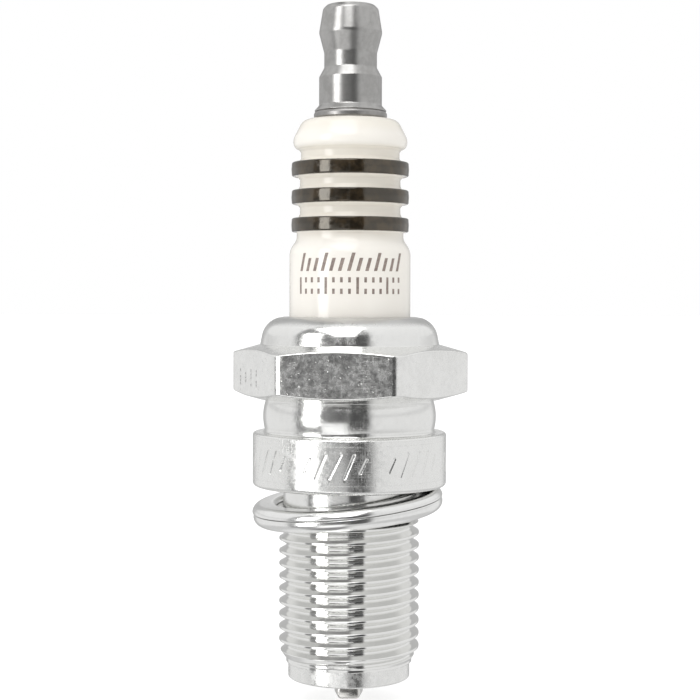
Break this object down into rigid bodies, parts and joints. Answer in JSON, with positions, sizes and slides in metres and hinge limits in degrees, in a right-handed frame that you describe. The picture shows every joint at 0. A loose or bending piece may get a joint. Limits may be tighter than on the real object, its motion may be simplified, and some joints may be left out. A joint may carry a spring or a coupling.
{
  "type": "spark plug",
  "caption": "Slim spark plug with a ribbed white insulator, hexagon shell, loose folded gasket, threaded nose, fine wire tip and a removable push-on terminal.",
  "frame": {"origin": "on the plug's axis in the gasket seat plane, the flat underside of the shell's collar", "axes": "+Z along the axis towards the terminal, -Z towards the firing end; the ground electrode's leg is on the +Y side and its tip points to -Y"},
  "size_m": [0.0232, 0.0218, 0.0689],
  "materials": {
    "nickel_terminal": "satin nickel plate",
    "stud_steel": "plain turned steel",
    "alumina": "clear glaze over white alumina",
    "black_glaze": "glossy black glaze",
    "seal_glass": "fused conductive glass",
    "resistor_body": "matte sintered",
    "nickel_alloy": "turned nickel alloy",
    "copper": null,
    "weld_metal": "laser weld",
    "iridium": "drawn wire",
    "shell_plating": "bright nickel plate",
    "packing_steel": "wire",
    "talc": "pressed powder",
    "gasket_plating": "plated folded steel"
  },
  "bodies": {
    "plug_body": {"terminal_stud": "stud_steel", "insulator": "alumina", "rib_glaze_top": "black_glaze", "rib_glaze_middle": "black_glaze", "rib_glaze_bottom": "black_glaze", "upper_glass_seal": "seal_glass", "resistor": "resistor_body", "lower_glass_seal": "seal_glass", "centre_electrode": "nickel_alloy", "centre_electrode_core": "copper", "tip_weld": "weld_metal", "iridium_tip": "iridium", "metal_shell": "shell_plating", "upper_packing_ring": "packing_steel", "talc_fill": "talc", "lower_packing_ring": "packing_steel", "seat_packing": "packing_steel", "ground_electrode": "nickel_alloy"},
    "terminal_cap": {"terminal_nut": "nickel_terminal"},
    "gasket_ring": {"gasket": "gasket_plating"}
  },
  "joints": [
    {"name": "terminal_nut_lift", "type": "slide", "parent": "plug_body", "child": "terminal_cap", "axis": [0, 0, 1], "range_m": [0, 0.009]},
    {"name": "gasket_tilt", "type": "hinge", "parent": "plug_body", "child": "gasket_ring", "pos_m": [0.00797, 0.00322, -0.00005], "axis": [-0.3746, 0.9272, 0], "range_deg": [0, 6]}
  ]
}
